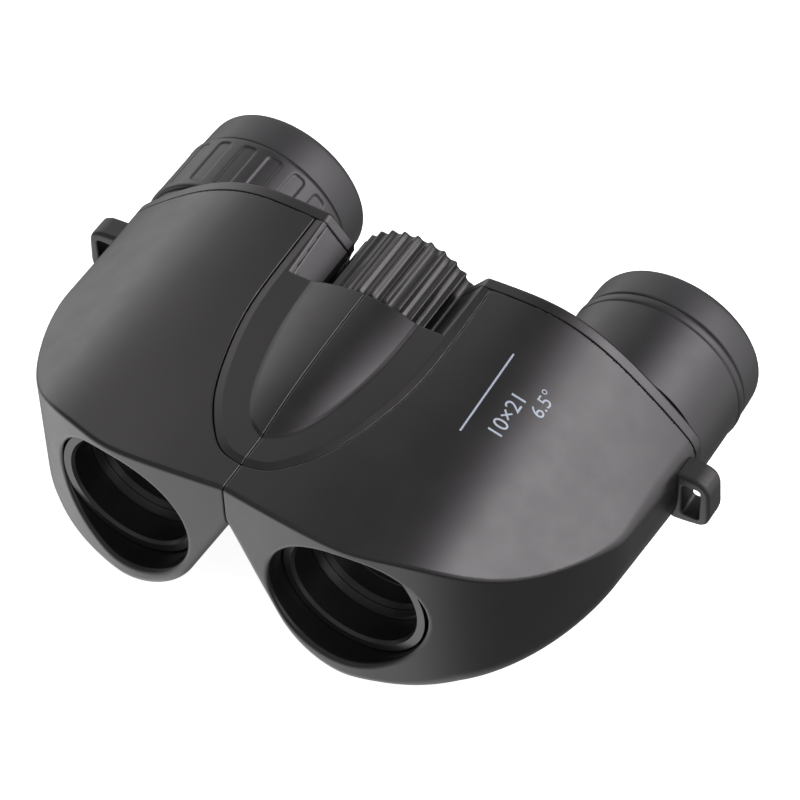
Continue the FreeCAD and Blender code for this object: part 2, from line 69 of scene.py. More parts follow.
Y_FRONT = -2.0
Y_PART = 53.0           # where the rear cover begins
Y_REAR = 55.2
PARTING = 0.05
SEAM_GAP = 0.03
WALL = 1.7
FOLD_SIDE = math.radians(27.6)
APEX_Z = 6.6
OBJ_HOUSING = (21.4, -1.9)
EYE_HOUSING_FRONT = (36.2, -2.6, 14.2)
EYE_HOUSING_R = 15.5
MOUTH_R = 12.67
GUIDE_R = 14.1
NOTCH_Y = 41.6
NOTCH_LOW_X = 10.2
NOTCH_LOW_Z = 13.2
WELL_R = 11.5
KNUCKLE_R = 4.4
KNUCKLE_CLEAR_R = 4.75
TUBE_R = 2.6
COVER_HOLE_R = 13.0
COVER_SCREWS = ((21.0, 14.4), (23.5, -14.0))
SCREW_HOLE_R = 0.85
SCREW_SINK_R = 1.6
KNUCKLES = {"left": [(4.0, 9.0), (31.0, NOTCH_Y)], "right": [(19.6, 30.7)]}
CHAMBER = (9.3, 19.3)
EYECUP_R = 15.2
RING_R = 15.6
GRIP_COUNT = 20
GRIP_FIRST = math.radians(3.5)
GRIP_MIDDLE_Y = 62.9
GRIP_HALF_LENGTH = 4.1
GRIP_HALF_WIDTH = 1.3
GRIP_END_R = 0.8
GRIP_DEPTH = 0.24
WHEEL_R = 11.1
ROOT_R = 10.4           # of the hollows between the wheel's ribs
RIB_COUNT = 28
LUG_OUTLINE = [(50.6, -10.6), (54.6, -10.4), (56.8, -9.8), (57.7, -8.2), (57.4, -1.4), (56.0, 0.0),
               (50.8, 0.4)]
LUG_Y = 49.6
LUG_HALF_WIDTH = 2.3
LUG_SLOT = (54.3, -5.15)
LUG_SLOT_HALF = (0.95, 2.65)
LUG_SLOT_CORNER_R = 0.6
PRINT_RISE = 0.06
RULE_LENGTH = 16.5
RULE_WIDTH = 0.32
RULE_MARKS = 24
FLOOR_SIZE = 8          # metres


# ---------------------------------------------------------------- curves and fields
class Curve:
    """Natural cubic curve through points, as a function of its first coordinate."""

    def __init__(self, points):
        self.x, self.y = np.array(points, float).T
        n = len(self.x)
        h = np.diff(self.x)
        lhs = np.eye(n)
        rhs = np.zeros(n)
        for i in range(1, n - 1):
            lhs[i, i - 1:i + 2] = h[i - 1], 2 * (h[i - 1] + h[i]), h[i]
            rhs[i] = 6 * ((self.y[i + 1] - self.y[i]) / h[i] - (self.y[i] - self.y[i - 1]) / h[i - 1])
        self.bend = np.linalg.solve(lhs, rhs)

    def __call__(self, x):
        """Value and slope; past its ends the curve runs on straight."""
        near = np.clip(x, self.x[0], self.x[-1])
        i = np.clip(np.searchsorted(self.x, near) - 1, 0, len(self.x) - 2)
        h = self.x[i + 1] - self.x[i]
        a = (self.x[i + 1] - near) / h
        b = (near - self.x[i]) / h
        m0, m1 = self.bend[i], self.bend[i + 1]
        value = a * self.y[i] + b * self.y[i + 1] + ((a ** 3 - a) * m0 + (b ** 3 - b) * m1) * h * h / 6
        slope = (self.y[i + 1] - self.y[i]) / h + ((3 * b * b - 1) * m1 - (3 * a * a - 1) * m0) * h / 6
        return value + slope * (x - near), slope


class Outline:
    """Plan outline that starts along +X and turns to +Y, seen from a frame turned by 45 degrees."""

    def __init__(self, points):
        self.curve = Curve([((x + y) / math.sqrt(2), (x - y) / math.sqrt(2)) for x, y in points])

    def __call__(self, x, y):
        """Distance outside the outline, and the outward direction's x."""
        value, slope = self.curve((x + y) / math.sqrt(2))
        size = np.sqrt(1 + slope ** 2)
        distance = ((x - y) / math.sqrt(2) - value) / size
        return distance, (1 - slope) / size / math.sqrt(2)


def fillet(a, b, radius, cosine=0.0):
    """What is inside both fields, its edge rounded; cosine is that between their normals."""
    u = a + radius
    v = b + radius
    arc = np.sqrt(np.maximum((u * u + v * v - 2 * cosine * u * v) / (1 - cosine * cosine), 0)) - radius
    return np.where((u > cosine * v) & (v > cosine * u), arc, np.maximum(a, b))


def join(a, b, radius):
    """What is inside either field, the inner corner between them rounded."""
    return -fillet(-a, -b, radius)


def lump(t):
    """Smooth step from 0 to 1."""
    t = np.clip(t, 0, 1)
    return t * t * (3 - 2 * t)


FRONT_TOP = Curve([(0, 15.9), (12.5, 15.5), (26, 13.9), (36, 11.0), (42, 6.8), (48, 2.9), (53.4, 1.0)])
REAR_TOP = Curve([(0, 17.6), (16, 18.2), (28.8, 17.7), (37.2, 13.9), (44.4, 8.4), (49.2, 4.0), (52.6, 0.4)])
PLAN = Outline([(0, 0), (8, -0.75), (15.5, -1.06), (21, -0.7), (26.5, 0.8), (32.5, 3.1), (37.2, 6.0),
                (42.2, 11.2), (48.0, 21.1), (51.9, 33), (53.2, 46), (53.2, 60)])
INLAY = Outline([(0, 5.4), (3.2, 6.0), (6.6, 8.6), (10.8, 14.9), (13.8, 23.4), (15.6, 33),
                 (15.9, 43.7), (15.9, 60)])
TONGUE = Outline([(0, 11.2), (2.4, 12.6), (4.4, 15), (6.8, 20), (8.4, 26), (9.3, 33), (9.7, 41.6), (9.7, 60)])
CREST = Curve([(11.2, 16.6), (15, 17.35), (20, 18.2), (26, 18.85), (33, 19.25), (NOTCH_Y, 19.45)])
ARC = Curve([(11.2, 12.5), (20, 14.4), (26, 17), (33, 20.5), (NOTCH_Y, 24)])


def top(x, y, z, rise=0):
    """Height over the top skin, with the x of its outward direction."""
    t = (y - Y_FRONT) / (Y_REAR - Y_FRONT)
    front, front_slope = FRONT_TOP(x)
    rear, rear_slope = REAR_TOP(x)
    slope = front_slope * (1 - t) + rear_slope * t
    size = np.sqrt(1 + slope ** 2 + ((rear - front) / (Y_REAR - Y_FRONT)) ** 2)
    return (z - rise - front * (1 - t) - rear * t) / size, -slope / size


def lower(x, y, z):
    """Depth below the lower skin: the folding face, the round front housing and the eyepiece housing."""
    t = (y - Y_FRONT) / (Y_REAR - Y_FRONT)
    ax, az = OBJ_HOUSING
    bx = EYE_HOUSING_FRONT[0] * (1 - t) + EYE_X * t
    bz = EYE_HOUSING_FRONT[1] * (1 - t) + EYE_Z * t
    b_r = EYE_HOUSING_FRONT[2] * (1 - t) + EYE_HOUSING_R * t
    a_r = (ax - SEAM_GAP) * math.cos(FOLD_SIDE) - (APEX_Z - az) * math.sin(FOLD_SIDE)
    spine = az + np.clip((x - ax) / (bx - ax), 0, 1) * (bz - az)
    low_z = np.minimum(z, spine)
    h = ((x - ax) * (bx - ax) + (low_z - az) * (bz - az)) / ((bx - ax) ** 2 + (bz - az) ** 2)
    h = np.clip(h, 0, 1)
    px = x - ax - h * (bx - ax)
    pz = low_z - az - h * (bz - az)
    far = np.sqrt(px * px + pz * pz)
    face = (SEAM_GAP - x) * math.cos(FOLD_SIDE) + (APEX_Z - z) * math.sin(FOLD_SIDE)
    on_face = (x < ax) & ((z - az) * math.cos(FOLD_SIDE) > (x - ax) * math.sin(FOLD_SIDE))
    return np.where(on_face, face, far - a_r - h * (b_r - a_r)), px / (far + 0.001)


def half_body(x, y, z, rise=0):
    """One half's outer skin, with its rounded lower edge and its upper crease."""
    wall, wall_x = PLAN(x, y)
    low, low_x = lower(x, y, z)
    over, over_x = top(x, y, z, rise)
    edge_r = 2.0 + 7.0 * lump((x - 26) / 22)
    skin = fillet(wall, low, edge_r, np.clip(wall_x * low_x, 0, 0.95))
    side_x = np.where(wall > low, wall_x, np.maximum(low_x, 0))
    crease_r = 0.7 + 4.5 * lump((y - 20) / 30) * lump((x - 38) / 12)
    skin = fillet(skin, over, crease_r, np.clip(over_x * side_x, 0, 0.9))
    return fillet(skin, SEAM_GAP - x, 0.25)


def notch(x, y, z):
    """Positive in the space round the focus wheel."""
    lean = 0.85
    wall = NOTCH_LOW_X + lean * np.maximum(z - NOTCH_LOW_Z, 0) - x
    wall = np.where(z > NOTCH_LOW_Z, wall / math.hypot(1, lean), wall)
    slot = np.minimum(wall, z - HINGE_Z)
    well = WELL_R - np.sqrt(x * x + (z - HINGE_Z) ** 2)
    return np.minimum(np.maximum(slot, well), y - NOTCH_Y)


def between(y, y0, y1):
    """Negative between two planes across Y."""
    return np.maximum(y0 - y, y - y1)


def seat_depth(y):
    """How far the top panel is let into the casing: it is thin beside the wheel."""
    return np.where(y < NOTCH_Y - 0.2, 2.4, 0.6)


def casing(x, y, z, side):
    """The front casing: a hollow shell with its mouth, hinge knuckles and the room for panel and wheel."""
    body = half_body(x, y, z)
    wheel_space = notch(x, y, z)
    inlay = INLAY(x, y)[0]
    from_obj = np.sqrt((x - OBJ_X) ** 2 + z ** 2)
    from_hinge = np.sqrt(x * x + (z - HINGE_Z) ** 2)
    hollow = np.maximum(body + WALL, 3.6 - y)
    hollow = np.maximum(hollow, wheel_space + 1.6)
    hollow = np.maximum(hollow, np.minimum(6.2 - from_hinge, NOTCH_Y - y))
    hollow = np.maximum(hollow, np.minimum(GUIDE_R - from_obj, 21 - y))
    hollow = np.maximum(hollow, np.minimum(0.8 - inlay, top(x, y, z)[0] + 3.9))
    body = fillet(body, np.minimum(MOUTH_R - from_obj, 22 - y), 0.9)
    body = fillet(body, wheel_space, 0.15)
    body = fillet(body, np.minimum(0.13 - inlay, top(x, y, z)[0] + seat_depth(y)), 0.18)
    body = np.maximum(body, -hollow)
    other = "right" if side == "left" else "left"
    for y0, y1 in KNUCKLES[other] + [CHAMBER]:
        body = np.maximum(body, -np.maximum(from_hinge - KNUCKLE_CLEAR_R, between(y, y0 - 0.2, y1 + 0.2)))
    for y0, y1 in KNUCKLES[side]:
        body = np.minimum(body, np.maximum(from_hinge - KNUCKLE_R, between(y, y0, y1)))
    arm_slot = np.maximum(np.maximum(1.5 - x, x - 12), between(y, *CHAMBER))
    arm_slot = np.maximum(arm_slot, np.maximum(1.6 - z, z - 6.4))
    body = np.maximum(body, -arm_slot)
    body = np.maximum(body, np.minimum(TUBE_R + 0.02 - from_hinge, y - 2.4))
    return fillet(body, y - (Y_PART - PARTING), 0.12)


def rear_cover(x, y, z):
    """The plate behind the parting line, with the eyepiece's hole and two sunken screw holes."""
    body = fillet(half_body(x, y, z), y - Y_REAR, 0.55)
    body = fillet(body, Y_PART + PARTING - y, 0.12)
    body = fillet(body, notch(x, y, z), 0.35)
    hole = COVER_HOLE_R - np.sqrt((x - EYE_X) ** 2 + (z - EYE_Z) ** 2)
    body = np.maximum(body, hole)
    for sx, sz in COVER_SCREWS:
        from_screw = np.sqrt((x - sx) ** 2 + (z - sz) ** 2)
        sink = np.minimum(SCREW_SINK_R - from_screw, y - Y_REAR + 1.0)
        body = np.maximum(body, np.maximum(SCREW_HOLE_R - from_screw, sink))
    return body


def hinge_cover(x, y, z):
    """The inlaid top panel, chamfered at its border, with the domed tongue over the hinge."""
    inlay = INLAY(x, y)[0]
    chamfer = 0.32 * np.clip((inlay + 1.3) / 1.3, 0, 1)
    over = top(x, y, z, 0.08 - chamfer)[0]
    panel = fillet(over, inlay, 0.12)
    arc = ARC(y)[0]
    dome = np.sqrt(x * x + (z - CREST(y)[0] + arc) ** 2) - arc
    dome = fillet(dome, TONGUE(x, y)[0], 0.8, 0.5)
    panel = join(panel, dome, 0.25)
    panel = fillet(panel, notch(x, y, z), 0.2)
    panel = np.maximum(panel, -top(x, y, z)[0] - seat_depth(y) + 0.04)
    panel = np.maximum(panel, y - (Y_PART + PARTING / 2))
    return fillet(panel, SEAM_GAP - x, 0.25)


# ---------------------------------------------------------------- meshes
COARSE = 1


def place(points):
    """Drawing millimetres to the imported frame's metres."""
    return np.asarray(points, float) / 1000 + np.array(ORIGIN)


def add_mesh(name, points, faces, normals=None):
    """A piece from drawing-frame points."""
    mesh = bpy.data.meshes.new(name)
    mesh.from_pydata(place(points).tolist(), [], np.asarray(faces).tolist())
    mesh.shade_smooth()
    if normals is not None:
        mesh.normals_split_custom_set_from_vertices(normals.tolist())
    piece = bpy.data.objects.new(name, mesh)
    bpy.context.scene.collection.objects.link(piece)
    return piece


def settle(field, points, rounds=3):
    """Move points onto the field's surface, and give the normals there."""
    h = 0.03
    for moves_left in range(rounds, -1, -1):
        x, y, z = points.T
        slope = np.stack([
            field(x + h, y, z) - field(x - h, y, z),
            field(x, y + h, z) - field(x, y - h, z),
            field(x, y, z + h) - field(x, y, z - h)], axis=1) / (2 * h)
        size = np.maximum(np.linalg.norm(slope, axis=1), 0.2)
        normals = slope / size[:, None]
        if moves_left:
            points = points - normals * np.clip(field(x, y, z) / size, -0.3, 0.3)[:, None]
    return points, normals


def ruler(start, *runs):
    """Sampling planes from start, through runs of (end, step)."""
    marks = [start]
    for end, step in runs:
        count = max(1, round((end - marks[-1]) / step / COARSE))
        marks += list(np.linspace(marks[-1], end, count + 1)[1:])
    return np.array(marks)


def carve(name, field, axes, mirror=False, keep=1.0):
    """A closed mesh of the space where field(x, y, z) is negative, sampled on three rulers."""
    x, y, z = np.meshgrid(*axes, indexing="ij", sparse=True)
    values = field(x, y, z) + 0 * (x + y + z)
    grid = openvdb.FloatGrid(1.0)
    grid.copyFromArray(np.clip(values, -1, 1).astype(np.float32))
    points, faces = grid.convertToQuads()
    points = np.stack([np.interp(p, np.arange(len(a)), a) for p, a in zip(points.T, axes)], axis=1)
    corners = points[faces]
    middle = corners.mean(axis=1)
    across = np.cross(corners[:, 2] - corners[:, 0], corners[:, 3] - corners[:, 1])
    length = np.linalg.norm(across, axis=1, keepdims=True) + 1e-12
    ahead = middle + across / length * 0.1
    if np.mean(field(*ahead.T) > field(*middle.T)) < 0.5:
        faces = faces[:, ::-1]
    points, normals = settle(field, points)
    if keep < 1:
        points, faces = thin(points, faces, keep)
        points, normals = settle(field, points, 2)
    if mirror:
        points = points * (-1, 1, 1)
        normals = normals * (-1, 1, 1)
        faces = faces[:, ::-1]
    return add_mesh(name, points, faces, normals)


def thin(points, faces, keep):
    """Fewer faces where the surface is flat."""
    mesh = bpy.data.meshes.new("thin")
    mesh.from_pydata(points.tolist(), [], faces.tolist())
    holder = bpy.data.objects.new("thin", mesh)
    bpy.context.scene.collection.objects.link(holder)
    modifier = holder.modifiers.new("thin", "DECIMATE")
    modifier.ratio = keep
    less = holder.evaluated_get(bpy.context.evaluated_depsgraph_get()).to_mesh()
    less.calc_loop_triangles()
    points = np.array([v.co for v in less.vertices])
    faces = np.array([t.vertices for t in less.loop_triangles])
    bpy.data.objects.remove(holder)
    bpy.data.meshes.remove(mesh)
    return points, faces


def turn(name, profile, x, z, count=128, shape=None):
    """A turned piece about an axis along Y.

    profile is a closed line of (radius, y), and shape(angle, radius, y) changes its radius.
    """
    profile = np.array(profile, float)
    angles = np.linspace(0, 2 * math.pi, count, endpoint=False)
    radius = np.repeat(profile[None, :, 0], count, axis=0)
    along = np.repeat(profile[None, :, 1], count, axis=0)
    if shape:
        radius = shape(angles[:, None], radius, along)
    across = x + radius * np.cos(angles)[:, None]
    height = z + radius * np.sin(angles)[:, None]
    points = np.stack([across, along, height], axis=-1)
    n = len(profile)
    faces = []
    for i in range(count):
        j = (i + 1) % count
        for k in range(n):
            m = (k + 1) % n
            faces.append((i * n + k, i * n + m, j * n + m, j * n + k))
    return add_mesh(name, points.reshape(-1, 3), faces)


def rounded(profile, cuts, steps=4):
    """A closed (radius, y) outline, each corner rounded from as far off as cuts says; 0 keeps it sharp."""
    result = []
    n = len(profile)
    for i, r in enumerate(cuts):
        p = np.array(profile[i], float)
        a = np.array(profile[i - 1], float) - p
        b = np.array(profile[(i + 1) % n], float) - p
        la, lb = np.linalg.norm(a), np.linalg.norm(b)
        cut = min(r, la * 0.45, lb * 0.45)
        if cut <= 0:
            result.append(tuple(p))
            continue
        start = p + a / la * cut
        end = p + b / lb * cut
        for s in range(steps + 1):
            t = s / steps
            result.append(tuple((1 - t) ** 2 * start + 2 * t * (1 - t) * p + t * t * end))
    return result


def sharpen(piece, angle=40):
    """Smooth shading that breaks at edges over an angle in degrees."""
    piece.data.set_sharp_from_angle(angle=math.radians(angle))
    return piece


# ---------------------------------------------------------------- materials
def material(name, base, roughness, metallic=0.0, grain=0.0, grain_size=0.25, tint=0.15, ior=1.5,
             spread=0.06):
    """Moulded or machined surface: slight colour drift, uneven gloss and a fine grain (its size in mm)."""
    mat = bpy.data.materials.new(name)
    mat.use_nodes = True
    nodes, links = mat.node_tree.nodes, mat.node_tree.links
    shader = nodes["Principled BSDF"]
    shader.inputs["Metallic"].default_value = metallic
    shader.inputs["IOR"].default_value = ior
    shader.inputs["Specular Tint"].default_value = (1, 0.95, 0.99, 1)
    coords = nodes.new("ShaderNodeTexCoord")
    drift = nodes.new("ShaderNodeTexNoise")
    drift.inputs["Scale"].default_value = 60
    drift.inputs["Detail"].default_value = 3
    links.new(coords.outputs["Object"], drift.inputs["Vector"])
    ramp = nodes.new("ShaderNodeValToRGB")
    ramp.color_ramp.elements[0].position = 0.3
    ramp.color_ramp.elements[1].position = 0.7
    ramp.color_ramp.elements[0].color = [c * (1 - tint) for c in base] + [1]
    ramp.color_ramp.elements[1].color = [c * (1 + tint) for c in base] + [1]
    links.new(drift.outputs["Fac"], ramp.inputs["Fac"])
    links.new(ramp.outputs["Color"], shader.inputs["Base Color"])
    smear = nodes.new("ShaderNodeTexNoise")
    smear.inputs["Scale"].default_value = 240
    smear.inputs["Detail"].default_value = 4
    links.new(coords.outputs["Object"], smear.inputs["Vector"])
    gloss = nodes.new("ShaderNodeMapRange")
    gloss.inputs["To Min"].default_value = roughness - spread
    gloss.inputs["To Max"].default_value = roughness + spread
    links.new(smear.outputs["Fac"], gloss.inputs["Value"])
    links.new(gloss.outputs["Result"], shader.inputs["Roughness"])
    if grain:
        fine = nodes.new("ShaderNodeTexNoise")
        fine.inputs["Scale"].default_value = 1000 / grain_size
        fine.inputs["Detail"].default_value = 2
        links.new(coords.outputs["Object"], fine.inputs["Vector"])
        bump = nodes.new("ShaderNodeBump")
        bump.inputs["Strength"].default_value = grain
        bump.inputs["Distance"].default_value = 0.00003
        links.new(fine.outputs["Fac"], bump.inputs["Height"])
        links.new(bump.outputs["Normal"], shader.inputs["Normal"])
    return mat


def glass(name, base, roughness=0.03):
    """Coated lens glass: dark, with a clear sheen."""
    mat = material(name, base, roughness, ior=1.6, tint=0.1, spread=0.02)
    shader = mat.node_tree.nodes["Principled BSDF"]
    shader.inputs["Coat Weight"].default_value = 0.6
    shader.inputs["Coat Roughness"].default_value = 0.04
    return mat


CASE = material("case_plastic", (0.0085, 0.008, 0.0085), 0.34, grain=0.25, grain_size=0.22)
COVER = material("cover_plastic", (0.0085, 0.008, 0.0085), 0.33, grain=0.2, grain_size=0.22)
WHEEL = material("wheel_rubber", (0.010, 0.0095, 0.010), 0.33, grain=0.35, grain_size=0.3)
RUBBER = material("eyecup_rubber", (0.021, 0.0202, 0.0215), 0.46, grain=0.5, grain_size=0.35)
BARREL = material("barrel_plastic", (0.016, 0.0153, 0.0164), 0.4, grain=0.35, grain_size=0.22)
LUG = material("lug_plastic", (0.010, 0.010, 0.010), 0.5, grain=0.3, grain_size=0.3)
BLACK = material("inner_black", (0.006, 0.006, 0.0065), 0.55, grain=0.2, grain_size=0.4)
CELL = material("cell_black", (0.012, 0.012, 0.0125), 0.3, grain=0.1, grain_size=0.3)
TRIM = material("anodised_trim", (0.16, 0.16, 0.165), 0.34, metallic=0.9, grain=0.1, grain_size=0.3)
STEEL = material("steel", (0.5, 0.5, 0.51), 0.3, metallic=1.0, grain=0.15)
BRASS = material("brass", (0.6, 0.45, 0.2), 0.32, metallic=1.0, grain=0.15)
LENS = glass("coated_glass", (0.006, 0.007, 0.009))
PRISM = glass("prism_glass", (0.02, 0.022, 0.022), 0.05)
PRINT = material("pale_print", (0.38, 0.42, 0.5), 0.5, grain=0.2, grain_size=0.2, tint=0.08)

BY_SLOT = {"casing": CASE, "cover": COVER, "wheel": WHEEL, "rubber": RUBBER, "lug": LUG, "inner_black": BLACK,
           "inner_metal": STEEL, "steel": STEEL, "brass": BRASS, "glass": PRISM, "coated_glass": LENS}
slot_of = {part["node"]: part["material_slot"] for part in frame["record"]["subparts"]}
for node, piece in frame["nodes"].items():
    chosen = BY_SLOT[slot_of[node]]
    if node.startswith("objective_cell"):
        chosen = CELL
    if node.startswith("objective_ring"):
        chosen = TRIM
    if not piece.data.materials:
        piece.data.materials.append(chosen)
    for i in range(len(piece.data.materials)):
        piece.data.materials[i] = chosen


def finish_piece(piece, mat, body, slot, *nodes):
    """Give a piece its material and its body, and hide the CAD nodes that it stands for; slot is not used."""
    piece.data.materials.append(mat)
    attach(piece, body)
    if nodes:
        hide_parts(*nodes)
    return piece


# ---------------------------------------------------------------- camera
# A long lens looks down on the object from in front of its user's left side.
TURN = math.radians(32.36)
ELEVATION = math.radians(48.47)
ROLL = math.radians(-2.46)
EYE_POINT = Vector(place((213.22, -286.08, 435.79)))
back = Vector((math.cos(ELEVATION) * math.sin(TURN), -math.cos(ELEVATION) * math.cos(TURN),
               math.sin(ELEVATION)))
right = Vector((math.cos(TURN), math.sin(TURN), 0))
up = back.cross(right)
right, up = right * math.cos(ROLL) + up * math.sin(ROLL), up * math.cos(ROLL) - right * math.sin(ROLL)
camera = bpy.data.objects.new("camera", bpy.data.cameras.new("camera"))
bpy.context.scene.collection.objects.link(camera)
camera.matrix_world = Matrix((right, up, back)).transposed().to_4x4()
camera.location = EYE_POINT
camera.data.sensor_width = 36
camera.data.lens = 166.5
camera.data.clip_start = 0.01
camera.data.clip_end = 20
bpy.context.scene.camera = camera

# ---------------------------------------------------------------- casings and covers
SHELL_RULERS = (ruler(-5.0, (-0.3, 0.4), (17.1, 0.21), (54.6, 0.42)), ruler(-3.2, (7, 0.25), (54, 0.31)),
                ruler(-22.2, (12.0, 0.42), (20.2, 0.2)))
COVER_RULERS = (ruler(-0.6, (54.6, 0.24)), ruler(52.4, (56.2, 0.19)), ruler(-22.2, (20.2, 0.24)))
PANEL_RULERS = (ruler(-0.5, (17.0, 0.16)), ruler(4.6, (54.0, 0.18)), ruler(14.0, (20.4, 0.15)))

for side, mirror in (("left", False), ("right", True)):
    def casing_here(x, y, z, side=side):
        return casing(x, y, z, side)

    body = side + "_half"
    shell = carve("shell_" + side, casing_here, SHELL_RULERS, mirror, 0.6)
    finish_piece(shell, CASE, body, "casing", "casing_" + side)
    rim = carve("rear_shell_" + side, rear_cover, COVER_RULERS, mirror, 0.5)
    finish_piece(rim, CASE, body, "cover", "rear_cover_" + side)
    panel = carve("top_panel_" + side, hinge_cover, PANEL_RULERS, mirror, 0.5)
    finish_piece(panel, COVER, body, "cover", "hinge_cover_" + side)


# ---------------------------------------------------------------- focus wheel
def ribbed(angle, radius, along):
    """Narrow round ribs with hollows between them along the wheel, which fade at its ends."""
    reach = (0.5 + 0.5 * np.cos(angle * RIB_COUNT)) ** 2
    on_rim = np.clip((radius - ROOT_R + 1) / 0.95, 0, 1)
    return radius + (WHEEL_R - ROOT_R) * reach * on_rim


low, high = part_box("focus_wheel")
wheel_front = (low.y - ORIGIN.y) * 1000
wheel_rear = (high.y - ORIGIN.y) * 1000
rim_line = [(ROOT_R, y) for y in np.linspace(wheel_front + 0.9, wheel_rear - 0.5, 12)]
front_edge = [(5.4, 0.0), (9.2, 0.0), (9.9, 0.15), (10.25, 0.45)]
rear_edge = [(10.35, 0.28), (10.2, 0.12), (9.9, 0.02), (9.2, 0.0), (8.3, 0.0), (7.6, 0.0), (7.3, 0.15),
             (7.2, 0.5), (6.9, 0.6), (5.2, 0.6), (4.9, 0.4), (4.2, 0.4), (4.2, 1.2), (5.4, 1.2)]
profile = ([(r, wheel_front + inward) for r, inward in front_edge] + rim_line
           + [(r, wheel_rear - inward) for r, inward in rear_edge])
wheel = turn("ribbed_wheel", profile, 0, HINGE_Z, RIB_COUNT * 18, ribbed)
finish_piece(sharpen(wheel, 50), WHEEL, "wheel", "wheel", "focus_wheel")

# ---------------------------------------------------------------- eyepieces
for side, sign, body in (("left", 1, "left_half"), ("right", -1, "right_eyepiece")):
    low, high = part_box("eyecup_" + side)
    cup_front = (low.y - ORIGIN.y) * 1000
    cup_rear = (high.y - ORIGIN.y) * 1000
    eyecup_profile = rounded(
        [(13.4, cup_front), (EYECUP_R - 0.25, cup_front), (EYECUP_R, cup_front + 0.3), (EYECUP_R, 71.8),
         (15.15, 74.0), (15.05, 75.6), (14.75, cup_rear), (12.4, cup_rear), (10.6, 75.5), (10.6, 75.4),
         (13.4, 75.4)],
        [0, 0.12, 0.3, 0.9, 0.9, 0.7, 0.7, 0.6, 0, 0, 0])
    cup = turn("eyecup_rubber_" + side, eyecup_profile, sign * EYE_X, EYE_Z, 160)
    finish_piece(sharpen(cup), RUBBER, body, "rubber", "eyecup_" + side)

barrel_end = (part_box("eyepiece_barrel_left")[1].y - ORIGIN.y) * 1000
barrel_profile = rounded(
    [(15.2, Y_REAR + 0.02), (15.2, barrel_end - 1.9), (15.36, barrel_end - 1.65), (15.45, barrel_end - 1.2),
     (15.45, barrel_end - 0.6), (15.32, barrel_end - 0.2), (15.0, barrel_end),
     (12.42, barrel_end), (12.42, 52.0), (13.0, 52.0), (13.0, Y_REAR + 0.02)],
    [0.05, 0.15, 0.2, 0.3, 0.3, 0.3, 0.1, 0, 0, 0, 0])
barrel = turn("barrel_left", barrel_profile, EYE_X, EYE_Z, 160)
finish_piece(sharpen(barrel), BARREL, "left_half", "casing", "eyepiece_barrel_left")


def gripped(angle, radius, along):
    """Long shallow grooves with round ends all round the ring."""
    pitch = 2 * math.pi / GRIP_COUNT
    local = (angle - GRIP_FIRST) / pitch
    across = np.abs(local - np.floor(local + 0.5)) * pitch * RING_R
    past = np.maximum(np.abs(along - GRIP_MIDDLE_Y) - GRIP_HALF_LENGTH, 0)
    beside = np.maximum(across - (GRIP_HALF_WIDTH - GRIP_END_R), 0)
    edge = np.where(past > 0, np.hypot(beside, past) - GRIP_END_R, across - GRIP_HALF_WIDTH)
    return radius - np.where(radius > 15.45, GRIP_DEPTH * lump(0.5 - edge / 0.5), 0)


# The marks are close together where the grooves end.
grip_marks = np.concatenate([np.linspace(57.0, 59.6, 16), np.linspace(60.4, 65.4, 6),
                             np.linspace(66.2, 68.6, 16)])
grip_line = [(RING_R, y) for y in grip_marks]
ring_profile = [(14.0, 56.3), (15.2, 56.3), (15.4, 56.42), (15.54, 56.66)] + grip_line
ring_profile += [(15.56, 68.85), (15.47, 69.04), (15.42, 69.1), (15.3, 69.1), (15.28, 69.05), (15.28, 68.25),
                 (12.8, 68.25), (12.8, 67.6), (14.0, 67.6)]
ring = turn("dioptre_grip_right", ring_profile, -EYE_X, EYE_Z, GRIP_COUNT * 36, gripped)
finish_piece(sharpen(ring), BARREL, "dioptre", "casing", "dioptre_ring_right")


# ---------------------------------------------------------------- strap lugs
def polygon(points, x, z):
    """Distance outside a convex outline, given anticlockwise across Y, with its corners rounded."""
    result = None
    for (ax, az), (bx, bz) in zip(points, points[1:] + points[:1]):
        size = math.hypot(bx - ax, bz - az)
        side = ((bz - az) * (x - ax) - (bx - ax) * (z - az)) / size
        result = side if result is None else fillet(result, side, 1.3, 0.3)
    return result


def strap_lug(x, y, z):
    """A rounded plate out of the casing's side with an upright slot for the strap."""
    plate = polygon(LUG_OUTLINE, x, z)
    plate = fillet(plate, np.abs(y - LUG_Y) - LUG_HALF_WIDTH, 0.75)
    past_x = np.abs(x - LUG_SLOT[0]) - LUG_SLOT_HALF[0]
    past_z = np.abs(z - LUG_SLOT[1]) - LUG_SLOT_HALF[1]
    slot = np.maximum(past_x, past_z)
    outside = np.sqrt(np.maximum(past_x, 0) ** 2 + np.maximum(past_z, 0) ** 2)
    slot = np.where(slot > 0, outside, slot) - LUG_SLOT_CORNER_R
    plate = fillet(plate, -slot, 0.4)
    return np.maximum(plate, -(half_body(x, y, z) + 0.02))


LUG_RULERS = (ruler(49.4, (58.4, 0.14)), ruler(46.6, (52.6, 0.14)), ruler(-11.4, (1.2, 0.14)))
for side, mirror in (("left", False), ("right", True)):
    lug = carve("lug_loop_" + side, strap_lug, LUG_RULERS, mirror, 0.5)
    finish_piece(lug, LUG, side + "_half", "lug", "strap_lug_" + side)


# ---------------------------------------------------------------- print
def skin_height(x, y):
    """Height of the top skin."""
    t = (y - Y_FRONT) / (Y_REAR - Y_FRONT)
    return FRONT_TOP(np.array(x))[0] * (1 - t) + REAR_TOP(np.array(x))[0] * t


